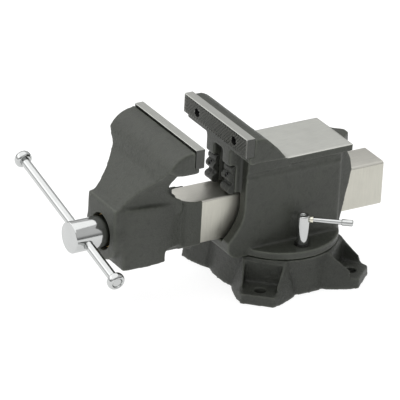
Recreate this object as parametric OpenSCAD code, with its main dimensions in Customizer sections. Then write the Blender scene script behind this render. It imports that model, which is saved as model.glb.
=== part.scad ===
/* [Jaws] */
// Width of both jaws and their plates
jaw_w = 150; // [146:1:156]
// Opening between the two jaw plates as drawn
jaw_gap = 58; // [20:1:90]
// Height of the jaws' top edge above the bench
jaw_top = 226; // [224:1:230]
// Height of a jaw plate
plate_h = 25; // [23:1:26]
// Thickness of a jaw plate
plate_t = 12.6; // [11:0.2:13]

/* [Slide and screw] */
// Width of the machined slide
slide_w = 46.6; // [45:0.2:47]
// Height of the machined slide
slide_h = 59; // [57:0.5:59.5]
// Length of the slide behind the moving jaw plate's face
slide_len = 297; // [280:1:310]
// Diameter of the lead screw
screw_d = 20; // [18:0.5:20]
// Diameter of the screw's round head
head_d = 40; // [36:1:41]
// Diameter of the handle bar
bar_d = 12; // [10:0.5:13]
// Lean of the handle bar from level
bar_lean = 14.1; // [0:0.1:60]
// How far the bar is pushed to the left through the head
bar_shift = 32; // [0:1:50]

/* [Anvil and body] */
// Width of the anvil
anvil_w = 86.4; // [84:0.4:90]
// Height of the anvil's top above the bench
anvil_top = 172; // [170:1:174]
// Radius of the round flange that the body swivels on
flange_r = 78; // [76:0.5:79]

/* [Base] */
// Height of the base
base_h = 45.8; // [45:0.1:45.8]
// Distance between the bench bolts from left to right
bolt_x = 146; // [142:1:150]
// Distance between the bench bolts from front to rear
bolt_y = 132; // [128:1:136]
// Diameter of a bench bolt hole
bolt_hole_d = 14; // [11:0.5:14]
// Distance of each swivel lock from the swivel axis
lock_x = 58; // [57.5:0.1:58.5]

/* [Hidden] */
$fn = 64;

cast = "#4e504a";
ground = "#b4b6af";
steel = "#8d8f8e";
chrome = "#d8dadb";
black_steel = "#2e2f30";

fixed_face = -100;
moving_face = fixed_face - jaw_gap;
plate_bottom = jaw_top - plate_h;
ledge_set = 6.4;
ledge_h = 8;
plate_screw_x = 44;
plate_screw_z = plate_bottom + 11;
screw_z = 102;
slide_top = 127;
slide_bottom = slide_top - slide_h;
slide_r = 3.5;
slide_fit = 0.45;
hollow_w = 29;
hollow_top = slide_top - 10;
wall_front = -32;
screw_seat = -88;
body_bottom = 46;
flange_top = 56;
floor_top = 67.5;
lock_y = 0.8;
lock_top = 96.5;
lever_z = 91;
lever_aim = 53.5;
lug_aim = atan2(bolt_y, bolt_x);
lug_hole_r = norm([bolt_x, bolt_y]) / 2;
lug_floor = 13.5;

// Box between two opposite corners
module block(low, high) translate(low) cube(high - low);

// Outline in (y, z), swept along X
module along_x(x0, x1) translate([x0, 0, 0]) rotate([90, 0, 90]) linear_extrude(x1 - x0) children();

// Outline in (x, z), swept along Y
module along_y(y0, y1) translate([0, y1, 0]) rotate([90, 0, 0]) linear_extrude(y1 - y0) children();

// Round bar or hole along Y
module rod_y(y0, y1, r, at_x, at_z) translate([at_x, y0, at_z]) rotate([-90, 0, 0]) cylinder(h = y1 - y0, r = r);

// The same shape on the left and on the right
module both_sides() {
    children();
    mirror([1, 0, 0]) children();
}

// Points along a round stretch of an outline
function arc(cy, cz, r, from, to, steps = 10) =
    [for (i = [0:steps]) let(a = from + (to - from) * i / steps) [cy + r * cos(a), cz + r * sin(a)]];

// Cylinder head screw with a hexagon socket: head towards +Z, under-head plane at z = 0
module socket_screw(d, head, head_h, len, socket) {
    difference() {
        cylinder(h = head_h, d = head);
        translate([0, 0, head_h / 2]) cylinder(h = head_h, d = socket, $fn = 6);
    }
    translate([0, 0, -len]) cylinder(h = len, d = d);
}

// ---- Base ----

// One bench lug, drawn along +X: a wide foot, and sides that fall from the round skirt to the open end
module lug() hull() {
    linear_extrude(3) polygon([[116, -21], [116, 21], [103, 30], [80, 40], [60, 40], [60, -40], [80, -40], [103, -30]]);
    linear_extrude(lug_floor + 0.5) polygon([[116, -20], [116, 20], [105, 24], [105, -24]]);
    block([60, -28, 0], [75, 28, base_h]);
}

// Pocket over a lug's floor, between its two ribs and open at the end
lug_pocket = [[80, -23.5], [80, 23.5], [104, 21], [106, 26], [130, 26], [130, -26], [106, -26], [104, -21]];

module lugs() for (side = [0, 180], way = [-1, 1]) rotate(side + way * lug_aim) children();

module swivel_base() color(cast) difference() {
    union() {
        rotate_extrude($fn = 96)
            polygon([[0, 0], [84, 0], [84, 5], [82, 12], [80, 24], [79, 38], [79, base_h], [0, base_h]]);
        lugs() lug();
    }
    // open underside, bench bolt pockets and bench bolt holes
    translate([0, 0, -1]) cylinder(h = 13, r = 70, $fn = 96);
    lugs() {
        translate([0, 0, lug_floor]) linear_extrude(50) polygon(lug_pocket);
        translate([lug_hole_r, 0, -1]) cylinder(h = 30, d = bolt_hole_d);
    }
    // T-slot ring for the two swivel locks, and the pivot hole
    rotate_extrude($fn = 96) translate([lock_x - 10.5, 22]) square([21, 11]);
    rotate_extrude($fn = 96) translate([lock_x - 5, 30]) square([10, 30]);
    translate([0, 0, -1]) cylinder(h = 60, r = 6.3);
}

// ---- Static jaw ----

// Side view of the box around the slide, with its forward sweep at the foot and its slanted rear
wall_side = [[70, body_bottom], [73, 65], [88, 129], [84, 146], [77.5, 158], [77.5, 166], [-75, 166], [-75, 110],
    [-76.5, 101], [-79.5, 92], [-84, 84], [-90, 76], [-97, 68.5], [-97, 56], [-90, 49], [-84, body_bottom]];

// Plan view of the same box: flat sides with rounded rear corners that draw in to the rear face
wall_half = 41.5;
wall_plan = concat([[-wall_half, -98], [wall_half, -98]], arc(wall_half - 6, 60, 6, 0, 75),
    [[33, 68.5], [29, 88.5], [-29, 88.5], [-33, 68.5]], arc(-(wall_half - 6), 60, 6, 105, 180));

// Side view of the jaw head: ledge under the plate, flat top, rear slope
head_side = [[fixed_face + plate_t, plate_bottom], [fixed_face + ledge_set, plate_bottom],
    [fixed_face + ledge_set, plate_bottom - ledge_h], [fixed_face + ledge_set + 3, 190], [-44, 189],
    [-41, 191], [-51, 203.5], [-65, 217], [-69, 220], [-76, jaw_top - 2.5], [fixed_face + plate_t, jaw_top - 2.5]];

// Slope between the head and the anvil, with its round foot
slope_side = concat([[-75, 160], [-75, 200], [-48, 200], [-41, 191]], arc(-14, 200, 28, 205, 270, 8), [[-14, 160]]);

// Plan view of the horn behind the anvil
horn_plan = [[-19, 70], [19, 70], [19, 77.5], [5, 95], [-5, 95], [-19, 77.5]];

scallop_top = 92;
pocket_w = 19;
carrier_half = 29;
cheek_bottom = 129.6;
cheek_top = 168;

module static_jaw_body() color(cast) difference() {
    union() {
        translate([0, 0, body_bottom]) cylinder(h = flange_top - body_bottom, r = flange_r, $fn = 96);
        intersection() {
            along_x(-60, 60) polygon(wall_side);
            linear_extrude(200) polygon(wall_plan);
        }
        // anvil, the tapered horn behind it with its round foot, and the shoulder under its edge
        block([-anvil_w / 2, -75, anvil_top - 9], [anvil_w / 2, 77.5, anvil_top - 4]);
        block([-anvil_w / 2, -75, anvil_top - 5], [anvil_w / 2, 77.5, anvil_top]);
        translate([0, 0, 150]) linear_extrude(anvil_top - 152) polygon(horn_plan);
        translate([0, 77.5, 132]) cylinder(h = 18.5, r1 = 9, r2 = 14);
        both_sides() along_y(-75, 62) polygon(concat([[30, 146]], arc(wall_half - 5, 151, 6.2, -30, 90, 6), [[30, 157]]));
        // jaw head, its slope down to the anvil, and the carrier of the pipe jaws
        along_x(-jaw_w / 2, jaw_w / 2) polygon(head_side);
        along_x(-anvil_w / 2, anvil_w / 2) polygon(slope_side);
        block([-wall_half, -75, 150], [wall_half, -45, 195]);
        block([-carrier_half, fixed_face + ledge_set, 130.5], [carrier_half, -70, 192]);
    }
    // passage of the slide, with room at its mouth for the casting's root
    block([-slide_w / 2 - slide_fit, -120, floor_top], [slide_w / 2 + slide_fit, 120, slide_top + slide_fit]);
    block([-26.5, -120, 66], [26.5, -67, 130.4]);
    // seats of the pipe jaws and the recess between them
    block([-carrier_half - 1, -120, 100], [carrier_half + 1, -84, cheek_top]);
    block([-pocket_w / 2, -120, 100], [pocket_w / 2, -80, 185]);
    for (x = [-1, 1]) rod_y(-90, -72, 2.55, x * 19.5, 153.5);
    // plate screw holes
    for (x = [-1, 1]) rod_y(-95, -70, 3.1, x * plate_screw_x, plate_screw_z);
    // locks: wrench scallops in the walls and bolt holes in the flange
    for (x = [-1, 1]) translate([x * lock_x, lock_y, 0]) {
        translate([0, 0, flange_top]) cylinder(h = scallop_top - flange_top, r = 18);
        translate([0, 0, 40]) cylinder(h = 30, r = 4.5);
    }
    // pivot bolt, and the spindle nut's screw with its counterbore from below
    translate([0, 0, 40]) cylinder(h = 40, r = 6.2);
    translate([0, -40, 40]) cylinder(h = 40, r = 5.2);
    translate([0, -40, 40]) cylinder(h = 17, r = 8.4);
}

// Jaw plate with counterbored holes, its gripping face on y = 0 and the body behind it at +Y
module jaw_plate() difference() {
    block([-jaw_w / 2, 0, plate_bottom], [jaw_w / 2, plate_t, jaw_top]);
    for (x = [-1, 1]) {
        rod_y(-1, 7, 5.6, x * plate_screw_x, plate_screw_z);
        rod_y(-1, plate_t + 1, 3.3, x * plate_screw_x, plate_screw_z);
    }
}

// Two low-headed socket screws, sunk behind y = 0
module plate_screws() for (x = [-1, 1])
    translate([x * plate_screw_x, 7, plate_screw_z]) rotate([90, 0, 0]) socket_screw(6, 10.4, 3.6, 18, 5.8);

module fixed_jaw_plate() color(ground) translate([0, fixed_face, 0]) jaw_plate();

module fixed_plate_screws() color(black_steel) translate([0, fixed_face, 0]) plate_screws();

tooth_r = 5.8;

// One toothed cheek: a round tooth at each of the given places in front of a plate, drilled for its pin
module cheek(back, bottom, top, teeth, pin_z) difference() {
    along_x(pocket_w / 2, carrier_half - 0.5) {
        polygon(concat([[back, top], [back, bottom], [teeth[0][0], bottom]], teeth, [[teeth[2][0], top]]));
        for (t = teeth) translate(t) circle(r = tooth_r, $fn = 32);
    }
    rod_y(-500, 500, 2.55, 19.5, pin_z);
}

fixed_teeth = [[-88.4, 135.6], [-87.4, 151], [-84.6, 161.5]];

module fixed_pipe_jaws() color(cast) difference() {
    both_sides() cheek(-84, cheek_bottom, cheek_top, fixed_teeth, 153.5);
    block([-40, -84, 120], [40, -70, 180]);
}

module fixed_pipe_jaw_pins() color(steel) for (x = [-1, 1]) rod_y(-91.5, -73, 2.5, x * 19.5, 153.5);

module spindle_nut() color(steel) difference() {
    block([-13.5, -66, floor_top], [13.5, -14, 114.5]);
    rod_y(-80, 0, screw_d / 2 + 0.4, 0, screw_z);
    translate([0, -40, 60]) cylinder(h = 27, r = 5.05);
}

module spindle_nut_screw() color(black_steel) translate([0, -40, 57]) rotate([180, 0, 0])
    socket_screw(10, 16, 10, 29, 9);

module pivot_bolt() color(steel) {
    translate([0, 0, 4]) cylinder(h = 7.9, r = 11, $fn = 6);
    translate([0, 0, 4]) cylinder(h = 77, r = 6);
}

module pivot_washer() color(steel) difference() {
    translate([0, 0, floor_top]) cylinder(h = 2.5, r = 12);
    cylinder(h = 90, r = 6.2);
}

module pivot_nut() color(steel) difference() {
    translate([0, 0, floor_top + 2.5]) cylinder(h = 9, r = 10.6, $fn = 6);
    cylinder(h = 90, r = 6.05);
}

// ---- Swivel locks ----

module t_bolt() {
    block([lock_x - 9.5, lock_y - 8.5, 22.6], [lock_x + 9.5, lock_y + 8.5, 32.6]);
    translate([lock_x, lock_y, 22.6]) cylinder(h = 75 - 22.6, r = 4);
}

module lock_washer() difference() {
    translate([lock_x, lock_y, flange_top]) cylinder(h = 1.8, r = 9.5);
    translate([lock_x, lock_y, 0]) cylinder(h = 90, r = 4.2);
}

// Shape drawn along +X from the nut's axis, put where the lever is
module at_lever() translate([lock_x, lock_y, lever_z]) rotate([0, 0, lever_aim]) rotate([0, 90, 0]) children();

module lock_nut() difference() {
    translate([lock_x, lock_y, flange_top + 1.9]) rotate_extrude()
        polygon([[0, 0], [7.2, 0], [7.8, 0.8], [7.8, lock_top - flange_top - 2.9], [6.8, lock_top - flange_top - 1.9],
            [4, lock_top - flange_top - 1.9], [4, lock_top - flange_top - 3.9], [0, lock_top - flange_top - 3.9]]);
    translate([lock_x, lock_y, 50]) cylinder(h = 26, r = 4.05);
    at_lever() translate([0, 0, -5.5]) cylinder(h = 30, r = 3.05);
}

module lock_lever() at_lever() translate([0, 0, -5]) cylinder(h = 65, r = 3);

module lever_ferrule() at_lever() difference() {
    translate([0, 0, 7.9]) cylinder(h = 4.4, r = 4.2);
    cylinder(h = 30, r = 3.05);
}

module lever_cap() at_lever() difference() {
    translate([0, 0, 47.6]) rotate_extrude() polygon([[0, 0], [4, 0], [4, 13.6], [3, 14.6], [0, 14.6]]);
    translate([0, 0, 30]) cylinder(h = 30.1, r = 3.05);
}

module t_bolt_right() color(steel) t_bolt();
module t_bolt_left() color(steel) mirror([1, 0, 0]) t_bolt();
module lock_washer_right() color(chrome) lock_washer();
module lock_washer_left() color(chrome) mirror([1, 0, 0]) lock_washer();
module lock_nut_right() color(chrome) lock_nut();
module lock_nut_left() color(chrome) mirror([1, 0, 0]) lock_nut();
module lock_lever_right() color(chrome) lock_lever();
module lock_lever_left() color(chrome) mirror([1, 0, 0]) lock_lever();
module lever_ferrule_right() color(ground) lever_ferrule();
module lever_ferrule_left() color(ground) mirror([1, 0, 0]) lever_ferrule();
module lever_cap_right() color(chrome) lever_cap();
module lever_cap_left() color(chrome) mirror([1, 0, 0]) lever_cap();

// ---- Moving jaw: y is measured from its plate's gripping face, towards the rear ----

module moving() translate([0, moving_face, 0]) children();

boss_face = -99;
nose_r = 36;
head_top = jaw_top - 2.5;
nose_z = head_top - nose_r;
nose_y = -16.5;
throat_y = -26;
throat_r = 25.6;

// Side view of the jaw head, from the plate's seat over the nose and down to the front block, then up the throat
jaw_side = concat(
    [[-plate_t, plate_bottom], [-plate_t, head_top]],
    arc(nose_y, nose_z, nose_r, 90, 175, 14),
    [[-53.6, 187], [-56, 184], [-60, 179.6], [-89, 147.4], [-91, 144], [-91, 120], [-0.5, 120], [-0.5, 134], [-3, 140]],
    arc(throat_y + throat_r, 167, throat_r, 255, 180, 8),
    [[throat_y, 187], [-24, 191], [-20, 193], [-ledge_set, 193], [-ledge_set, plate_bottom]]);

// Front view of the head: full width at the plate, swept in to a narrow neck
waist = 31.5;
sweep_r = 60.7;
head_half = concat([[waist, 120]], arc(waist + sweep_r, 133, sweep_r, 180, 137, 10), [[71, 200], [jaw_w / 2, 206], [jaw_w / 2, 240]]);

// Side view of the full-width part of the head, round at its lower front corner
wing_side = concat([[-ledge_set, 193], [-27, 193], [-37, 194.5], [-44, 198]],
    arc(nose_y, nose_z, nose_r, 155, 90, 8),
    [[-plate_t, head_top], [-plate_t, plate_bottom], [-ledge_set, plate_bottom]]);

// Plan view of the front block, drawing in from the front to the slide's root
block_plan = [[36.5, -86], [38, -80], [38.5, -60], [37, -36], [33.5, -18], [28.5, -4], [24.8, 8]];

// Side view of the front block with its top falling to the root and its lug below
block_side = [[-86, 60], [-24, 59.5], [-23, 74], [-2, 73.5], [8, 67], [8, 128.4], [3, 128.6], [-3, 132.5], [-20, 137],
    [-50, 141], [-86, 143.5]];

root_half = 24.8;
root_end = 32;
run_out = 3;
run_out_r = 26.1;

module moving_jaw_body() color(cast) moving() difference() {
    union() {
        intersection() {
            along_x(-80, 80) polygon(jaw_side);
            along_y(-120, 20) union() {
                polygon(concat(head_half, [[0, 240], [0, 120]]));
                mirror([1, 0]) polygon(concat(head_half, [[0, 240], [0, 120]]));
            }
        }
        along_x(-jaw_w / 2, jaw_w / 2) polygon(wing_side);
        // front block and the proud root of the slide, above which the machined top ends in a round run-out
        difference() {
            union() {
                intersection() {
                    linear_extrude(200) both_sides() polygon(concat(block_plan, [[0, 8], [0, -86]]));
                    along_x(-80, 80) polygon(block_side);
                }
                block([-root_half, -40, slide_bottom - 1], [root_half, root_end, slide_top + 1.6]);
            }
            translate([0, run_out + run_out_r, slide_top]) cylinder(h = 10, r = run_out_r);
            block([-50, run_out + run_out_r, slide_top], [50, 50, slide_top + 10]);
        }
        // boss around the screw's head
        along_y(boss_face, -80) {
            translate([-34, screw_z]) square([68, 144 - screw_z]);
            translate([0, screw_z]) circle(r = 36.5);
        }
        // machined slide
        along_y(-30, slide_len) difference() {
            translate([-slide_w / 2, slide_bottom]) square([slide_w, slide_h]);
            for (x = [-1, 1], z = [0, 1]) translate([x * slide_w / 2, slide_bottom + z * slide_h]) rotate(45)
                square(slide_r * 0.9, center = true);
        }
    }
    // hollow of the slide for the spindle nut, open below
    block([-hollow_w / 2, wall_front, 0], [hollow_w / 2, slide_len + 1, hollow_top]);
    // seat of the screw's head and the bore of its journal
    rod_y(-150, screw_seat, 23, 0, screw_z);
    rod_y(-150, 0, screw_d / 2 + 0.06, 0, screw_z);
    // seats of the pipe jaws and the recess between them
    block([-carrier_half, -34, 135.6], [carrier_half, 10, 169.6]);
    block([-pocket_w / 2, -38, 135.6], [pocket_w / 2, 10, 176]);
    for (x = [-1, 1]) rod_y(-46, -30, 2.55, x * 19.5, 157);
    for (x = [-1, 1]) rod_y(-30, 0, 3.1, x * plate_screw_x, plate_screw_z);
}

module moving_jaw_plate() color(ground) moving() mirror([0, 1, 0]) jaw_plate();

module moving_plate_screws() color(black_steel) moving() mirror([0, 1, 0]) plate_screws();

moving_teeth = [[-16, 141.6], [-21.5, 151.4], [-26, 163.4]];

module moving_pipe_jaws() color(cast) moving() both_sides() cheek(-34, 135.7, 169.6, moving_teeth, 157);

module moving_pipe_jaw_pins() color(steel) moving() for (x = [-1, 1]) rod_y(-45, -24, 2.5, x * 19.5, 157);

// ---- Lead screw ----

shoulder = screw_seat - 3;
head_front = -142;
screw_end = 248;
collar_y = -17.5;
bar_y = -125.4;

module thrust_washer() color("#b08d57") moving() difference() {
    rod_y(shoulder, screw_seat, 21.5, 0, screw_z);
    rod_y(shoulder - 1, screw_seat + 1, screw_d / 2 + 0.4, 0, screw_z);
}

// Round wire along a helix around the screw, eight-sided
spring_turns = 3.2;
spring_steps = 56;
wire_r = 1.1;
coil_r = 12.2;
spring_y0 = wall_front + wire_r + 0.05;
spring_y1 = collar_y - wire_r - 0.15;

function on_wire(i, k) =
    let(a = 360 * spring_turns * i / spring_steps, b = 45 * k, r = coil_r + wire_r * cos(b))
    [r * cos(a), spring_y0 + (spring_y1 - spring_y0) * i / spring_steps + wire_r * sin(b), screw_z + r * sin(a)];

module screw_spring() color(steel) moving() polyhedron(
    points = [for (i = [0:spring_steps], k = [0:7]) on_wire(i, k)],
    faces = concat([[for (k = [0:7]) k]], [[for (k = [7:-1:0]) spring_steps * 8 + k]],
        [for (i = [0:spring_steps - 1], k = [0:7]) [i * 8 + k, (i + 1) * 8 + k, (i + 1) * 8 + (k + 1) % 8, i * 8 + (k + 1) % 8]]));

// Shape drawn along +Z from the head's cross hole, laid along the handle bar towards the right
module at_bar() moving() translate([0, bar_y, screw_z]) rotate([0, 90 + bar_lean, 0]) children();

module lead_screw() color(chrome) difference() {
    moving() translate([0, 0, screw_z]) rotate([-90, 0, 0]) rotate_extrude()
        polygon([[0, head_front], [head_d / 2 - 1.5, head_front], [head_d / 2, head_front + 1.5],
            [head_d / 2, shoulder - 0.1], [screw_d / 2, shoulder - 0.1], [screw_d / 2, screw_end - 2],
            [screw_d / 2 - 2, screw_end], [0, screw_end]]);
    at_bar() translate([0, 0, -40]) cylinder(h = 80, r = bar_d / 2 + 0.07);
    moving() translate([0, collar_y + 4.5, 60]) cylinder(h = 80, r = 2.05);
}

module retaining_collar() color(steel) moving() difference() {
    rod_y(collar_y, collar_y + 9, 13, 0, screw_z);
    rod_y(collar_y - 1, collar_y + 10, screw_d / 2 + 0.03, 0, screw_z);
    translate([0, collar_y + 4.5, 60]) cylinder(h = 80, r = 2.05);
}

module collar_pin() color(steel) moving() translate([0, collar_y + 4.5, screw_z - 12.4]) cylinder(h = 24.8, r = 2);

// ---- Handle ----

bar_left = -bar_shift - 122;
bar_right = -bar_shift + 122;

module handle_bar() color(chrome) at_bar() translate([0, 0, bar_left - 4.2])
    cylinder(h = bar_right - bar_left + 8.4, r = bar_d / 2);

// Turned knob around the bar's end, inner face towards -Z
module knob() difference() {
    rotate_extrude() polygon(concat([[0, -5.5], [8.2, -5.5]], arc(5.8, 0, 5.4, -60, 60, 8), [[8.2, 5.5], [0, 5.5]]));
    translate([0, 0, -20]) cylinder(h = 40, r = bar_d / 2 + 0.04);
}

module handle_knob_left() color(chrome) at_bar() translate([0, 0, bar_left]) knob();

module handle_knob_right() color(chrome) at_bar() translate([0, 0, bar_right]) knob();

swivel_base();
static_jaw_body();
fixed_jaw_plate();
fixed_plate_screws();
fixed_pipe_jaws();
fixed_pipe_jaw_pins();
spindle_nut();
spindle_nut_screw();
pivot_bolt();
pivot_washer();
pivot_nut();
t_bolt_right();
t_bolt_left();
lock_washer_right();
lock_washer_left();
moving_jaw_body();
moving_jaw_plate();
moving_plate_screws();
moving_pipe_jaws();
moving_pipe_jaw_pins();
thrust_washer();
screw_spring();
lead_screw();
retaining_collar();
collar_pin();
handle_bar();
handle_knob_left();
handle_knob_right();
lock_nut_right();
lock_lever_right();
lever_ferrule_right();
lever_cap_right();
lock_nut_left();
lock_lever_left();
lever_ferrule_left();
lever_cap_left();
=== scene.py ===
"""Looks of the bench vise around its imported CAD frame: castings, steel, floor, light and camera."""
import math

import bmesh
import bpy
import numpy as np
from mathutils import Matrix, Vector


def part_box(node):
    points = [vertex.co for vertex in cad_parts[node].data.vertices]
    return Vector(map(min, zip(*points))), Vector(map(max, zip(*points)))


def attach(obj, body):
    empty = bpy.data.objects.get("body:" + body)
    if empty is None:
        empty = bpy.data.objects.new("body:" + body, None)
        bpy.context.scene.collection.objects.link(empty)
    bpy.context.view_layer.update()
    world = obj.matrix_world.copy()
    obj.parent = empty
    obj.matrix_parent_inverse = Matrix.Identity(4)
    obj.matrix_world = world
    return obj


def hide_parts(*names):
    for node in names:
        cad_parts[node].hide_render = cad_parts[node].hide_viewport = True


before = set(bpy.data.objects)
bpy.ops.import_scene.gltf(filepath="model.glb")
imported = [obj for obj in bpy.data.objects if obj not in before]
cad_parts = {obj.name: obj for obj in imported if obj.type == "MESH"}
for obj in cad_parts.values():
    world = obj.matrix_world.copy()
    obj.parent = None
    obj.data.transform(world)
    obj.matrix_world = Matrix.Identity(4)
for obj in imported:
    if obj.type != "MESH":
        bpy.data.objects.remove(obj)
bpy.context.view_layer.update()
scene = bpy.context.scene
MM = 0.001


# ---------------------------------------------------------------- materials

def new_material(name):
    mat = bpy.data.materials.new(name)
    mat.use_nodes = True
    nodes = mat.node_tree.nodes
    nodes.clear()
    out = nodes.new("ShaderNodeOutputMaterial")
    bsdf = nodes.new("ShaderNodeBsdfPrincipled")
    mat.node_tree.links.new(bsdf.outputs["BSDF"], out.inputs["Surface"])
    return mat, nodes, mat.node_tree.links, bsdf


def noise(nodes, links, scale, stretch=(1, 1, 1), detail=3.0, rough=0.55):
    """Noise in object space, with its cells stretched along an axis by a small factor there."""
    coord = nodes.new("ShaderNodeTexCoord")
    mapping = nodes.new("ShaderNodeMapping")
    mapping.inputs["Scale"].default_value = stretch
    tex = nodes.new("ShaderNodeTexNoise")
    tex.inputs["Scale"].default_value = scale
    tex.inputs["Detail"].default_value = detail
    tex.inputs["Roughness"].default_value = rough
    links.new(coord.outputs["Object"], mapping.inputs["Vector"])
    links.new(mapping.outputs["Vector"], tex.inputs["Vector"])
    return tex.outputs["Fac"]


def remap(nodes, links, value, low, high, to_low, to_high):
    node = nodes.new("ShaderNodeMapRange")
    node.inputs["From Min"].default_value = low
    node.inputs["From Max"].default_value = high
    node.inputs["To Min"].default_value = to_low
    node.inputs["To Max"].default_value = to_high
    links.new(value, node.inputs["Value"])
    return node.outputs["Result"]


def mix(nodes, links, fac, a, b):
    node = nodes.new("ShaderNodeMix")
    node.data_type = "RGBA"
    for key, value in ((6, a), (7, b)):
        if isinstance(value, tuple):
            node.inputs[key].default_value = (*value, 1)
        else:
            links.new(value, node.inputs[key])
    links.new(fac, node.inputs[0])
    return node.outputs[2]


def bump(nodes, links, height, distance, strength=1.0, after=None):
    node = nodes.new("ShaderNodeBump")
    node.inputs["Strength"].default_value = strength
    node.inputs["Distance"].default_value = distance
    links.new(height, node.inputs["Height"])
    if after is not None:
        links.new(after, node.inputs["Normal"])
    return node.outputs["Normal"]


def cast_paint(name="cast_paint", colour=(0.040, 0.0435, 0.0345), grain=1.0):
    """Satin paint over sand-cast iron: orange peel over a pebbled ground. Convex edges are paler, partly rubbed wear
    and partly a painted highlight; hollows and creases are darker with painted shade.
    """
    mat, n, l, bsdf = new_material(name)
    cloud = noise(n, l, 22.0, detail=4.0)
    speck = noise(n, l, 900.0, detail=2.0)
    dark = tuple(c * 0.86 for c in colour)
    pale = tuple(c * 1.12 for c in colour)
    base = mix(n, l, remap(n, l, cloud, 0.35, 0.65, 0, 1), dark, pale)
    patch = noise(n, l, 130.0, detail=5.0, rough=0.65)
    base = mix(n, l, remap(n, l, patch, 0.36, 0.50, 0.45, 0), base, tuple(c * 0.55 for c in colour))
    base = mix(n, l, remap(n, l, speck, 0.60, 0.76, 0, 0.40), base, tuple(c * 2.0 for c in colour))
    geometry = n.new("ShaderNodeNewGeometry")
    # Paler on convex edges: rubbed wear, and partly a painted highlight.
    rubbed_and_lit_edge = remap(n, l, geometry.outputs["Pointiness"], 0.507, 0.55, 0, 0.7)
    base = mix(n, l, rubbed_and_lit_edge, base, tuple(c * 2.6 for c in colour))
    # Darker in hollows and creases: painted shade.
    base = mix(n, l, remap(n, l, geometry.outputs["Pointiness"], 0.455, 0.494, 0.75, 0),
               base, tuple(c * 0.4 for c in colour))
    l.new(base, bsdf.inputs["Base Color"])
    l.new(remap(n, l, cloud, 0.3, 0.7, 0.40, 0.52), bsdf.inputs["Roughness"])
    bsdf.inputs["Specular IOR Level"].default_value = 0.5
    coarse = bump(n, l, noise(n, l, 300.0, detail=5.0, rough=0.65), 0.00075 * grain)
    fine = bump(n, l, noise(n, l, 1700.0, detail=2.0), 0.00005 * grain, after=coarse)
    l.new(fine, bsdf.inputs["Normal"])
    return mat


def metal(name, colour, rough, lines=None, line_scale=60.0, line_depth=0.00003, spread=0.10, tint=0.88):
    """Bare metal. lines stretches its scratches: small along the way they run."""
    mat, n, l, bsdf = new_material(name)
    bsdf.inputs["Metallic"].default_value = 1.0
    cloud = noise(n, l, 35.0, detail=5.0)
    marks = noise(n, l, line_scale, lines or (1, 1, 1), detail=5.0, rough=0.7)
    dark = tuple(c * tint for c in colour)
    base = mix(n, l, remap(n, l, marks, 0.35, 0.65, 0, 1), dark, colour)
    base = mix(n, l, remap(n, l, cloud, 0.30, 0.52, 0.45, 0), base, tuple(c * (tint - 0.05) for c in colour))
    l.new(base, bsdf.inputs["Base Color"])
    l.new(remap(n, l, marks, 0.3, 0.7, rough - spread / 2, rough + spread / 2), bsdf.inputs["Roughness"])
    l.new(bump(n, l, marks, line_depth), bsdf.inputs["Normal"])
    return mat


def chrome_plate(name="chrome_plate"):
    """Polished plate, almost clean, with a faint haze and ripple from the turning under it."""
    mat, n, l, bsdf = new_material(name)
    bsdf.inputs["Metallic"].default_value = 1.0
    haze = noise(n, l, 60.0, detail=4.0)
    l.new(mix(n, l, haze, (0.49, 0.50, 0.495), (0.56, 0.57, 0.565)), bsdf.inputs["Base Color"])
    l.new(remap(n, l, haze, 0.3, 0.7, 0.07, 0.13), bsdf.inputs["Roughness"])
    l.new(bump(n, l, noise(n, l, 240.0, detail=2.0), 0.00001), bsdf.inputs["Normal"])
    return mat


def knurled_steel(name="hardened_steel"):
    """Blackened steel of the gripping faces: grooves darkened with painted shade, points bright from rubbing and from
    a painted highlight.
    """
    mat, n, l, bsdf = new_material(name)
    bsdf.inputs["Metallic"].default_value = 1.0
    geometry = n.new("ShaderNodeNewGeometry")
    wear = noise(n, l, 90.0, detail=4.0)
    base = mix(n, l, wear, (0.060, 0.062, 0.057), (0.120, 0.122, 0.112))
    # Bright on the points: rubbed wear and a painted highlight.
    base = mix(n, l, remap(n, l, geometry.outputs["Pointiness"], 0.52, 0.60, 0, 0.8),
               base, (0.36, 0.36, 0.34))
    # Dark in the grooves: painted shade.
    base = mix(n, l, remap(n, l, geometry.outputs["Pointiness"], 0.40, 0.48, 0.9, 0),
               base, (0.015, 0.015, 0.014))
    l.new(base, bsdf.inputs["Base Color"])
    l.new(remap(n, l, wear, 0.3, 0.7, 0.36, 0.48), bsdf.inputs["Roughness"])
    l.new(bump(n, l, noise(n, l, 900.0), 0.00003), bsdf.inputs["Normal"])
    return mat


PAINT = cast_paint()
DARK_STEEL = knurled_steel()
# Darker, coarser-grained copy of the paint for the base and the pipe cheeks; the darker colour is painted shade.
PAINT_ROUGH_SHADED = cast_paint("cast_paint_rough_shaded", (0.030, 0.0325, 0.026), 2.2)
PLATE_TOP = metal("ground_along_x", (0.50, 0.505, 0.475), 0.36, (0.06, 1.6, 1.6), 900.0, 0.00002)
ANVIL = metal("ground_anvil", (0.62, 0.625, 0.585), 0.40, (1.6, 0.10, 1.6), 700.0, 0.00002)
SLIDE = metal("milled_slide", (0.60, 0.59, 0.525), 0.44, (1.2, 1.5, 0.07), 620.0, 0.00003)
CHROME = chrome_plate()
BARE = metal("turned_steel", (0.44, 0.44, 0.43), 0.34, (1.5, 0.2, 1.5), 500.0)
BLACK = metal("black_oxide", (0.035, 0.035, 0.037), 0.42, None, 600.0, 0.00003, tint=0.75)
# Dark plain steel for the plate ends and sides; on the lock washers its darkness is painted shade under the lock
# nuts.
DARK_STEEL_AND_SHADE = metal("dark_steel_and_painted_shade", (0.10, 0.102, 0.096), 0.44, None, 500.0, 0.00003, tint=0.75)
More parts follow.
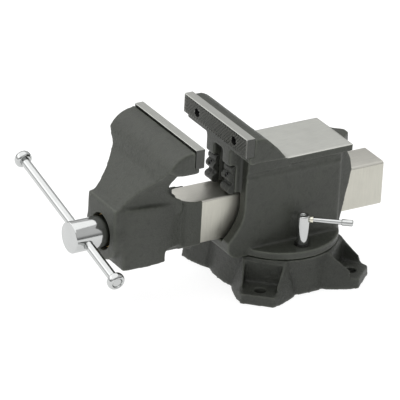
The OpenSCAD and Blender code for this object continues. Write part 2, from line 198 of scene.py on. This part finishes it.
# Brighter copy of the slide's steel for its up-facing faces: the extra brightness is painted light on the top.
SLIDE_TOP_LIT = metal("milled_slide_top_lit", (0.78, 0.765, 0.70), 0.38, (1.5, 0.07, 1.5), 620.0, 0.00003)
BRONZE = metal("turned_bronze", (0.50, 0.34, 0.14), 0.32, None, 300.0)
ZINC = metal("pale_zinc", (0.80, 0.78, 0.66), 0.30, None, 400.0, 0.00001, tint=0.94)
STEEL_THREAD = metal("oiled_thread", (0.30, 0.30, 0.285), 0.30, (1, 0.3, 1), 500.0, tint=0.75)


# ---------------------------------------------------------------- mesh helpers

def add_object(name, mesh, body, slot, *nodes):
    obj = bpy.data.objects.new(name, mesh)
    scene.collection.objects.link(obj)
    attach(obj, body)
    if nodes:
        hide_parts(*nodes)
    return obj


def shade(mesh, degrees=None):
    mesh.polygons.foreach_set("use_smooth", [True] * len(mesh.polygons))
    if degrees:
        mesh.set_sharp_from_angle(angle=math.radians(degrees))
    mesh.update()


def mesh_from(name, verts, faces):
    mesh = bpy.data.meshes.new(name)
    mesh.from_pydata([tuple(v) for v in verts], [], faces)
    bm = bmesh.new()
    bm.from_mesh(mesh)
    bmesh.ops.recalc_face_normals(bm, faces=bm.faces)
    bm.to_mesh(mesh)
    bm.free()
    return mesh


def evaluated(obj):
    """The object's mesh with its modifiers applied."""
    bpy.context.view_layer.update()
    graph = bpy.context.evaluated_depsgraph_get()
    mesh = bpy.data.meshes.new_from_object(obj.evaluated_get(graph))
    obj.modifiers.clear()
    obj.data = mesh
    return mesh


def minus(obj, cutter_mesh, operation="DIFFERENCE"):
    cutter = bpy.data.objects.new("cutter", cutter_mesh)
    scene.collection.objects.link(cutter)
    mod = obj.modifiers.new("cut", "BOOLEAN")
    mod.operation = operation
    mod.solver = "EXACT"
    mod.object = cutter
    evaluated(obj)
    bpy.data.objects.remove(cutter)


def coordinates(mesh):
    co = np.empty(len(mesh.vertices) * 3, np.float32)
    mesh.vertices.foreach_get("co", co)
    return co.reshape(-1, 3).astype(float)


def set_coordinates(mesh, co):
    mesh.vertices.foreach_set("co", co.astype(np.float32).ravel())
    mesh.update()


def relax(mesh, weight, rounds):
    """Rounds off edges: each point moves towards its neighbours' mean, as far as its weight lets it."""
    co = coordinates(mesh)
    edges = np.empty(len(mesh.edges) * 2, np.int64)
    mesh.edges.foreach_get("vertices", edges)
    a, b = edges.reshape(-1, 2).T
    count = len(co)
    degree = np.maximum(np.bincount(a, minlength=count) + np.bincount(b, minlength=count), 1)
    w = 0.5 * weight(*(co.T / MM))[:, None]
    for _ in range(rounds):
        near = np.stack([np.bincount(a, co[b, k], count) + np.bincount(b, co[a, k], count)
                         for k in range(3)], 1)
        co += w * (near / degree[:, None] - co)
    set_coordinates(mesh, co)


def lattice_noise(points, seed):
    """Smooth noise from -1 to 1 at points given in cells."""
    base = np.floor(points).astype(np.int64)
    t = points - base
    t = t * t * (3 - 2 * t)
    total = np.zeros(len(points))
    for corner in range(8):
        step = np.array([corner & 1, corner >> 1 & 1, corner >> 2 & 1])
        cell = base + step
        h = (cell[:, 0] * 73856093) ^ (cell[:, 1] * 19349663) ^ (cell[:, 2] * 83492791) ^ (seed * 2654435)
        value = ((h * 1103515245 + 12345) >> 8 & 65535) / 32767.5 - 1
        total += value * np.prod(np.where(step, t, 1 - t), axis=1)
    return total


def pebble(mesh, depth, weight=None):
    """Uneven sand-cast skin: low noise along each point's normal."""
    co = coordinates(mesh)
    normals = np.empty(len(co) * 3, np.float32)
    mesh.vertex_normals.foreach_get("vector", normals)
    h = lattice_noise(co / (9 * MM), 3) * 0.6 + lattice_noise(co / (3.6 * MM), 5) * 0.4
    w = 1 if weight is None else weight(*(co.T / MM))
    set_coordinates(mesh, co + normals.reshape(-1, 3) * ((h - 1) * w * depth)[:, None])


def welded_copy(node):
    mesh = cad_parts[node].data.copy()
    mesh.materials.clear()
    bm = bmesh.new()
    bm.from_mesh(mesh)
    bmesh.ops.remove_doubles(bm, verts=bm.verts, dist=1e-6)
    bm.to_mesh(mesh)
    bm.free()
    return mesh


def voxels(obj, size):
    mod = obj.modifiers.new("voxels", "REMESH")
    mod.mode = "VOXEL"
    mod.voxel_size = size * MM
    mod.adaptivity = 0
    return evaluated(obj)


def face_data(mesh):
    count = len(mesh.polygons)
    centre, normal = np.empty(count * 3, np.float32), np.empty(count * 3, np.float32)
    mesh.polygons.foreach_get("center", centre)
    mesh.polygons.foreach_get("normal", normal)
    return (centre.reshape(-1, 3) / MM).T, normal.reshape(-1, 3).T


def paint_faces(mesh, materials, index):
    mesh.materials.clear()
    for m in materials:
        mesh.materials.append(m)
    mesh.polygons.foreach_set("material_index", np.asarray(index, np.int32))
    mesh.update()


def soften(points, radius, steps=4):
    """A polyline with each inner corner rounded, by the radius or as much as its sides allow."""
    p = [np.array(q, float) for q in points]
    made = [p[0]]
    for before, here, after in zip(p, p[1:], p[2:]):
        u, v = before - here, after - here
        lu, lv = np.linalg.norm(u), np.linalg.norm(v)
        reach = min(radius, lu * 0.45, lv * 0.45)
        start, end = here + u / lu * reach, here + v / lv * reach
        for i in range(steps + 1):
            t = i / steps
            made.append((1 - t) ** 2 * start + 2 * t * (1 - t) * here + t * t * end)
    made.append(p[-1])
    return made


def turned(name, origin, axis, profile, radius=0.6, sides=96, steps=4):
    """Solid of revolution. profile is (radius, distance along the axis) in mm, from the axis back to the axis."""
    axis = Vector(axis).normalized()
    turn = axis.to_track_quat("Z", "Y").to_matrix()
    line = soften(profile, radius, steps)
    verts, faces, rings = [], [], []
    for r, t in line:
        if r < 1e-6:
            rings.append([len(verts)])
            verts.append((0, 0, t))
        else:
            rings.append(list(range(len(verts), len(verts) + sides)))
            verts += [(r * math.cos(2 * math.pi * i / sides), r * math.sin(2 * math.pi * i / sides), t)
                      for i in range(sides)]
    for low, high in zip(rings, rings[1:]):
        for i in range(sides):
            j = (i + 1) % sides
            quad = [low[i % len(low)], low[j % len(low)], high[j % len(high)], high[i % len(high)]]
            kept = [v for k, v in enumerate(quad) if v != quad[k - 1]]
            if len(kept) > 2:
                faces.append(kept)
    placed = [Vector(origin) * MM + turn @ Vector(v) * MM for v in verts]
    return mesh_from(name, placed, faces)


# ---------------------------------------------------------------- castings

def ramp(value, low, high):
    return np.clip((value - low) / (high - low), 0, 1)


def make_base():
    obj = add_object("base_casting", welded_copy("swivel_base"), "base", "cast_paint", "swivel_base")
    mesh = voxels(obj, 1.5)

    def weight(x, y, z):
        r = np.hypot(x, y)
        top = ramp(z, 38, 41) * (r < 84)
        return np.where(z < 2.5, 0.12, 1.0) * (1 - 0.96 * top)

    relax(mesh, weight, 7)
    pebble(mesh, 0.30 * MM, lambda x, y, z: ramp(z, 1.5, 5))
    shade(mesh)
    paint_faces(mesh, [PAINT_ROUGH_SHADED], np.zeros(len(mesh.polygons)))
    return obj


def make_static_body():
    obj = add_object("static_jaw_casting", welded_copy("static_jaw_body"), "static_jaw", "cast_paint",
                     "static_jaw_body")
    mesh = voxels(obj, 1.35)

    def weight(x, y, z):
        crisp = (z > 160) & (y > -60) & (y < 80)
        tunnel = (np.abs(x) < 25) & (z > 60) & (z < 130)
        plate_seat = (y < -85) & (z > 190)
        rim = (z < 60) & (np.hypot(x, y) > 74)
        mouth = (y < -74) & (z < 165)
        ridge = (y > 55) & (z < 165)
        loose = np.where(rim | mouth | ridge, 0.3, 1.0)
        return np.where((z < 50) & rim, 0.05, np.where(crisp | tunnel | plate_seat, 0.18, loose))

    relax(mesh, weight, 9)
    pebble(mesh, 0.18 * MM, lambda x, y, z: np.where((z > 170.5) & (y > -45), 0, 1.0))
    shade(mesh)
    (x, y, z), (nx, ny, nz) = face_data(mesh)
    machined = (z > 170.9) & (nz > 0.8) & (y > -42)
    paint_faces(mesh, [PAINT, ANVIL], machined.astype(int))
    return obj


def make_moving_body():
    mesh = welded_copy("moving_jaw_body")
    bm = bmesh.new()
    bm.from_mesh(mesh)
    cut = bmesh.ops.bisect_plane(bm, geom=bm.verts[:] + bm.edges[:] + bm.faces[:], dist=1e-7,
                                 plane_co=(0, -126.2 * MM, 0), plane_no=(0, 1, 0), clear_outer=True)
    rim = [e for e in cut["geom_cut"] if isinstance(e, bmesh.types.BMEdge)]
    bmesh.ops.holes_fill(bm, edges=rim)
    bmesh.ops.triangulate(bm, faces=bm.faces)
    bmesh.ops.recalc_face_normals(bm, faces=bm.faces)
    bm.to_mesh(mesh)
    bm.free()
    obj = add_object("moving_jaw_casting", mesh, "moving_jaw", "cast_paint", "moving_jaw_body")
    mesh = voxels(obj, 1.3)

    def weight(x, y, z):
        seat = (y > -176) & (z > 195)
        root = (y > -158) & (z < 130)
        bore = (y < -240) & (np.hypot(x, z - 102) < 27)
        foot = z < 63
        return np.where(seat | root, 0.12, np.where(bore | foot, 0.3, 1.0))

    relax(mesh, weight, 20)
    co = coordinates(mesh) / MM
    x, y, z = co.T
    sunk = (y > -156) & (np.abs(x) < 22.6) & (z > 125) & (z < 127.6)
    co[sunk, 2] -= 3
    set_coordinates(mesh, co * MM)
    pebble(mesh, 0.18 * MM, lambda x, y, z: np.where((y > -158) & (z < 130), 0, 1.0))
    shade(mesh)
    paint_faces(mesh, [PAINT], np.zeros(len(mesh.polygons)))
    return obj


def make_slide():
    """Machined slide: an inverted U with rounded corners, its end edges broken."""
    outline = [(-23.3, 71.0), (-23.3, 123.5)]
    outline += [(-19.8 - 3.5 * math.cos(a), 123.5 + 3.5 * math.sin(a)) for a in np.radians(np.linspace(10, 80, 6))]
    outline += [(-19.8, 127.0)]
    half = outline + [(0.0, 127.0)]
    right = [(-u, v) for u, v in reversed(outline)]
    inner = [(22.6, 68.6), (21.6, 68.0), (15.2, 68.0), (14.5, 68.7), (14.5, 114.5), (12.0, 117.0),
             (-12.0, 117.0), (-14.5, 114.5), (-14.5, 68.7), (-15.2, 68.0), (-21.6, 68.0), (-22.6, 68.6)]
    ring = half + right + inner
    sections = [(-158.0, 0.0), (138.2, 0.0), (138.8, 0.25), (139.0, 0.7)]
    verts, faces, n = [], [], len(ring)
    points = np.array(ring)
    follow, lead = np.roll(points, -1, 0), np.roll(points, 1, 0)
    tangent = follow - lead
    inward = np.stack([tangent[:, 1], -tangent[:, 0]], 1)
    inward /= np.linalg.norm(inward, axis=1)[:, None]
    for y, inset in sections:
        for u, v in points + inward * inset:
            verts.append(np.array((u, y, v)) * MM)
    for s in range(len(sections) - 1):
        faces += [[s * n + i, s * n + (i + 1) % n, (s + 1) * n + (i + 1) % n, (s + 1) * n + i] for i in range(n)]
    faces += [list(range(n)), list(range((len(sections) - 1) * n, len(sections) * n))]
    mesh = mesh_from("slide", verts, faces)
    shade(mesh, 35)
    (x, y, z), (nx, ny, nz) = face_data(mesh)
    # Faces turned upwards take the brighter copy, which paints light on the slide's top.
    paint_faces(mesh, [SLIDE, SLIDE_TOP_LIT], (nz > 0.5).astype(int))
    return add_object("slide", mesh, "moving_jaw", "ground_steel")


def make_pipe_jaws(node, body, name):
    obj = add_object(name, welded_copy(node), body, "cast_paint", node)
    mesh = voxels(obj, 0.6)
    relax(mesh, lambda x, y, z: np.ones_like(x), 7)
    pebble(mesh, 0.12 * MM)
    shade(mesh)
    paint_faces(mesh, [PAINT_ROUGH_SHADED], np.zeros(len(mesh.polygons)))
    return obj


# ---------------------------------------------------------------- jaw plates

def make_plate(name, node, body, face_y, back):
    """Hardened jaw plate with a crosscut gripping face, drilled for its two screws. back is the way into the jaw."""
    low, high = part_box(node)
    x0, x1, z0, z1 = low.x / MM, high.x / MM, low.z / MM, high.z / MM
    cols, rows, depth = 58, 10, 1.3
    xs = np.linspace(x0 + 0.5, x1 - 0.5, cols + 1)
    zs = np.linspace(z0 + 0.5, z1 - 0.5, rows + 1)
    verts, faces = [], []
    for j, z in enumerate(zs):
        for i, x in enumerate(xs):
            rim = i in (0, cols) or j in (0, rows)
            deep = 0.45 if rim else (0.0 if (i + j) % 2 else depth)
            verts.append((x, face_y + back * deep, z))
    at = lambda i, j: j * (cols + 1) + i
    for j in range(rows):
        for i in range(cols):
            quad = [at(i, j), at(i + 1, j), at(i + 1, j + 1), at(i, j + 1)]
            if (i + j) % 2:
                faces += [[quad[1], quad[2], quad[3]], [quad[3], quad[0], quad[1]]]
            else:
                faces += [[quad[0], quad[1], quad[2]], [quad[2], quad[3], quad[0]]]
    border = [at(i, 0) for i in range(cols)] + [at(cols, j) for j in range(rows)]
    border += [at(i, rows) for i in range(cols, 0, -1)] + [at(0, j) for j in range(rows, 0, -1)]
    rings = [border]
    for grow, depth_at in ((0.5, 1.0), (0.5, 12.1), (0.1, 12.6)):
        ring = []
        for v in border:
            x, _, z = verts[v]
            x = x + (grow if x > x1 - 0.6 else -grow if x < x0 + 0.6 else 0)
            z = z + (grow if z > z1 - 0.6 else -grow if z < z0 + 0.6 else 0)
            ring.append(len(verts))
            verts.append((x, face_y + back * depth_at, z))
        rings.append(ring)
    n = len(border)
    for a, b in zip(rings, rings[1:]):
        faces += [[a[i], a[(i + 1) % n], b[(i + 1) % n], b[i]] for i in range(n)]
    faces.append(rings[-1])
    mesh = mesh_from(name, [np.array(v) * MM for v in verts], faces)
    obj = add_object(name, mesh, body, "ground_steel", node)
    for x in (-44, 44):
        hole = turned("hole", (x, face_y - back * 2, 212), (0, back, 0),
                      [(0, 0), (6.3, 0), (6.3, 1.9), (5.6, 2.7), (5.6, 9), (3.3, 9), (3.3, 16), (0, 16)], 0.01, 64, 1)
        minus(obj, hole)
    mesh = obj.data
    (_, cy, cz), (_, _, nz) = face_data(mesh)
    top = (nz > 0.6) & (cz > z1 - 0.6)
    gripping = np.abs(cy - face_y) < 2
    paint_faces(mesh, [DARK_STEEL_AND_SHADE, PLATE_TOP, DARK_STEEL], np.where(top, 1, np.where(gripping, 2, 0)))
    for p in mesh.polygons:
        p.use_smooth = False
    return obj


# ---------------------------------------------------------------- turned and chromed parts

SCREW_Z = 102.0
HEAD_Y = -283.4
LEAN = math.radians(14.1)
BAR = Vector((math.cos(LEAN), 0, -math.sin(LEAN)))


def make_screw_head():
    mesh = turned("head", (0, 0, SCREW_Z), (0, 1, 0),
                  [(0, -300), (20, -300), (20, -249.2), (10, -249.2), (10, -170), (0, -170)], 1.6, 128, 5)
    obj = add_object("screw_head", mesh, "screw", "chrome", "lead_screw")
    centre = (0, HEAD_Y, SCREW_Z)
    minus(obj, turned("hole", centre, BAR, [(0, -40), (6.35, -40), (6.35, 40), (0, 40)], 0.01, 64, 1))
    obj.data.materials.clear()
    obj.data.materials.append(CHROME)
    shade(obj.data, 40)
    return obj


def make_thread():
    """Trapezoid thread of 6 mm pitch: rows of points follow the helix, eight to a turn's pitch."""
    sides, per, pitch, start, end = 64, 8, 6.0, -182.0, 90.0
    profile = [7.7, 7.7, 8.6, 9.95, 9.95, 9.95, 8.6, 7.7]
    rows = int((end - start) / pitch * per) + 2 * per
    verts, faces = [], []
    for j in range(rows + per + 1):
        for i in range(sides):
            y = start - pitch + (j / per + i / sides) * pitch
            r = profile[j % per]
            taper = min(max((end - y) / 3.0, 0), 1)
            r = 7.0 + (r - 7.0) * taper
            if y <= start:
                y, r = start, 7.0
            if y >= end:
                y, r = end, 7.0
            a = 2 * math.pi * i / sides
            verts.append((r * math.cos(a) * MM, y * MM, (SCREW_Z - r * math.sin(a)) * MM))
    for j in range(rows):
        for i in range(sides):
            k = i + 1
            nxt = (k, j) if k < sides else (0, j + per)
            top = (k, j + 1) if k < sides else (0, j + 1 + per)
            if top[1] <= rows + per:
                faces.append([j * sides + i, nxt[1] * sides + nxt[0], top[1] * sides + top[0], (j + 1) * sides + i])
    mesh = bpy.data.meshes.new("thread")
    mesh.from_pydata(verts, [], faces)
    bm = bmesh.new()
    bm.from_mesh(mesh)
    bmesh.ops.remove_doubles(bm, verts=bm.verts, dist=1e-6)
    bmesh.ops.dissolve_degenerate(bm, dist=1e-6, edges=bm.edges)
    bmesh.ops.delete(bm, geom=[v for v in bm.verts if not v.link_faces], context="VERTS")
    bmesh.ops.holes_fill(bm, edges=[e for e in bm.edges if e.is_boundary])
    bmesh.ops.recalc_face_normals(bm, faces=bm.faces)
    bm.to_mesh(mesh)
    bm.free()
    mesh.materials.append(STEEL_THREAD)
    shade(mesh, 32)
    return add_object("screw_thread", mesh, "screw", "chrome")


def lathe_piece(name, body, slot, material, nodes, origin, axis, profile, radius=0.6, sides=96, crease=None):
    mesh = turned(name, origin, axis, profile, radius, sides)
    mesh.materials.append(material)
    shade(mesh, crease)
    return add_object(name, mesh, body, slot, *nodes)


def closed_turned(name, origin, axis, loop, radius, sides=96, steps=4):
    """Ring-shaped solid of revolution from a closed loop of (radius, distance along the axis)."""
    axis = Vector(axis).normalized()
    turn = axis.to_track_quat("Z", "Y").to_matrix()
    line = soften(loop, radius, steps)[:-1]
    verts = [Vector(origin) * MM + turn @ Vector((r * math.cos(2 * math.pi * i / sides),
             r * math.sin(2 * math.pi * i / sides), t)) * MM for r, t in line for i in range(sides)]
    m = len(line)
    faces = [[k * sides + i, k * sides + (i + 1) % sides,
              (k + 1) % m * sides + (i + 1) % sides, (k + 1) % m * sides + i]
             for k in range(m) for i in range(sides)]
    return mesh_from(name, verts, faces)


def make_handle():
    centre = Vector((0, HEAD_Y, SCREW_Z))
    left, right = -154.0, 90.0
    lathe_piece("handle_rod", "handle", "chrome", CHROME, ["handle_bar"], centre, BAR,
                [(0, left - 4.2), (6, left - 4.2), (6, right + 4.2), (0, right + 4.2)], 1.2, 96)
    ends = (("knob_left", "handle_knob_left", left, -1), ("knob_right", "handle_knob_right", right, 1))
    for name, node, at, out in ends:
        loop = [(6.05, -5.5), (8.6, -5.5), (10.6, -3.6), (11.2, -1.2), (11.2, 1.6), (10.2, 4.2), (8.4, 5.5),
                (7.2, 5.5), (6.6, 4.6), (6.05, 3.4), (6.05, -5.5)]
        mesh = closed_turned(name, centre + BAR * at, BAR * out, loop, 0.7)
        mesh.materials.append(CHROME)
        shade(mesh, 50)
        add_object(name, mesh, "handle", "chrome", node)


def make_lock(side, name):
    """Chromed lock nut with its tommy lever, ferrule and end cap."""
    body = "lock_" + name
    x = 58.0 * side
    aim = math.radians(53.5)
    way = Vector((math.cos(aim) * side, math.sin(aim), 0))
    at = Vector((x, 0.8, 91))
    lathe_piece("lock_nut_body_" + name, body, "chrome", CHROME, ["lock_nut_" + name], (x, 0.8, 0), (0, 0, 1),
                [(0, 57.9), (7.3, 57.9), (7.8, 58.6), (7.8, 95.3), (6.8, 96.5), (4.8, 96.5), (4.0, 96.0), (4.0, 94.6),
                 (0, 94.6)], 0.5, 96, 50)
    lathe_piece("lock_rod_" + name, body, "chrome", CHROME, ["lock_lever_" + name], at, way,
                [(0, -5), (3, -5), (3, 60), (0, 60)], 0.5, 64)
    lathe_piece("lock_ferrule_" + name, body, "zinc", ZINC, ["lever_ferrule_" + name], at, way,
                [(0, 7.9), (3.7, 7.9), (4.2, 8.5), (4.2, 11.7), (3.7, 12.3), (0, 12.3)], 0.5, 64, 60)
    lathe_piece("lock_cap_" + name, body, "chrome", CHROME, ["lever_cap_" + name], at, way,
                [(0, 47.6), (3.4, 47.6), (4, 48.4), (4, 61.0), (3.1, 62.2), (0, 62.2)], 0.6, 64, 60)


make_base()
make_static_body()
make_moving_body()
make_slide()
make_pipe_jaws("fixed_pipe_jaws", "static_jaw", "fixed_pipe_cheeks")
make_pipe_jaws("moving_pipe_jaws", "moving_jaw", "moving_pipe_cheeks")
make_plate("fixed_plate", "fixed_jaw_plate", "static_jaw", -100.0, 1)
make_plate("moving_plate", "moving_jaw_plate", "moving_jaw", -158.0, -1)
make_screw_head()
make_thread()
make_handle()
make_lock(1, "right")
make_lock(-1, "left")

# The lock washers take the dark steel to paint the shade under the lock nuts.
KEPT = {"fixed_pipe_jaw_pins": BLACK, "moving_pipe_jaw_pins": BLACK, "fixed_plate_screws": BLACK,
        "moving_plate_screws": BLACK, "spindle_nut_screw": BLACK,
        "thrust_washer": BRONZE, "lock_washer_right": DARK_STEEL_AND_SHADE, "lock_washer_left": DARK_STEEL_AND_SHADE}
for node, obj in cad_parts.items():
    if not obj.hide_render:
        obj.data.materials.clear()
        obj.data.materials.append(KEPT.get(node, BARE))


# ---------------------------------------------------------------- floor, light, camera

def make_floor():
    """White floor that glows as a light table does, but not under the four bench bolt holes, where the unlit spots
    paint shade inside the holes.
    """
    mesh = bpy.data.meshes.new("floor")
    s = 9.0
    mesh.from_pydata([(-s, -s, -0.0003), (s, -s, -0.0003), (s, s, -0.0003), (-s, s, -0.0003)], [], [(0, 1, 2, 3)])
    mat, n, l, bsdf = new_material("floor_white")
    l.new(mix(n, l, noise(n, l, 3.0), (0.30, 0.30, 0.30), (0.32, 0.32, 0.32)), bsdf.inputs["Base Color"])
    bsdf.inputs["Roughness"].default_value = 0.9
    bsdf.inputs["Specular IOR Level"].default_value = 0.1
    bsdf.inputs["Emission Color"].default_value = (1, 1, 1, 1)
    coord = n.new("ShaderNodeTexCoord")
    mirrored = n.new("ShaderNodeVectorMath")
    mirrored.operation = "ABSOLUTE"
    from_hole = n.new("ShaderNodeVectorMath")
    from_hole.operation = "DISTANCE"
    from_hole.inputs[1].default_value = (0.073, 0.066, 0)
    l.new(coord.outputs["Object"], mirrored.inputs[0])
    l.new(mirrored.outputs["Vector"], from_hole.inputs[0])
    # No glow within 12 mm of each bolt hole: painted shade that keeps the holes dark.
    l.new(remap(n, l, from_hole.outputs["Value"], 0.012, 0.014, 0, 0.8), bsdf.inputs["Emission Strength"])
    mesh.materials.append(mat)
    obj = bpy.data.objects.new("floor", mesh)
    scene.collection.objects.link(obj)


def make_world():
    """Pale studio: brightest overhead, with a dark band above the horizon that draws the edges of the chrome."""
    world = bpy.data.worlds.new("studio")
    scene.world = world
    world.use_nodes = True
    nodes, links = world.node_tree.nodes, world.node_tree.links
    background = nodes["Background"]
    coord = nodes.new("ShaderNodeTexCoord")
    split = nodes.new("ShaderNodeSeparateXYZ")
    colours = nodes.new("ShaderNodeValToRGB")
    colours.color_ramp.elements[0].position = 0.0
    colours.color_ramp.elements[0].color = (0.30, 0.31, 0.31, 1)
    colours.color_ramp.elements[1].position = 1.0
    colours.color_ramp.elements[1].color = (1, 1, 1, 1)
    for position, value in ((0.16, 0.34), (0.34, 0.94), (0.6, 1.0)):
        band = colours.color_ramp.elements.new(position)
        band.color = (value, value, value, 1)
    links.new(coord.outputs["Generated"], split.inputs["Vector"])
    links.new(split.outputs["Z"], colours.inputs["Fac"])
    links.new(colours.outputs["Color"], background.inputs["Color"])
    background.inputs["Strength"].default_value = 0.74


def make_light(name, location, target, size, energy):
    data = bpy.data.lights.new(name, "AREA")
    data.shape = "RECTANGLE"
    data.size, data.size_y = size
    data.energy = energy
    obj = bpy.data.objects.new(name, data)
    scene.collection.objects.link(obj)
    obj.location = location
    obj.rotation_mode = "QUATERNION"
    obj.rotation_quaternion = (Vector(target) - Vector(location)).to_track_quat("-Z", "Y")


def make_camera():
    azimuth, elevation, roll = (math.radians(v) for v in (57.98, 26.13, 3.19))
    back = Vector((math.sin(azimuth) * math.cos(elevation), -math.cos(azimuth) * math.cos(elevation),
                   math.sin(elevation)))
    level = Vector((math.cos(azimuth), math.sin(azimuth), 0))
    up = back.cross(level)
    right = level * math.cos(roll) + up * math.sin(roll)
    upward = up * math.cos(roll) - level * math.sin(roll)
    data = bpy.data.cameras.new("camera")
    data.lens, data.sensor_width = 425.07, 36.0
    data.clip_start, data.clip_end = 0.1, 60
    obj = bpy.data.objects.new("camera", data)
    scene.collection.objects.link(obj)
    place = Matrix((right, upward, back)).transposed().to_4x4()
    place.translation = Vector((-0.0295, -0.0969, 0.0980)) + back * 5.870
    obj.matrix_world = place
    scene.camera = obj


make_floor()
make_world()
make_light("key_above", (-0.5, -0.7, 2.0), (0, -0.05, 0.1), (4.4, 4.4), 52)
make_light("front_left", (-1.4, -2.0, 0.7), (0, -0.1, 0.1), (2.6, 2.6), 9)
make_camera()
scene.view_settings.view_transform = "Standard"
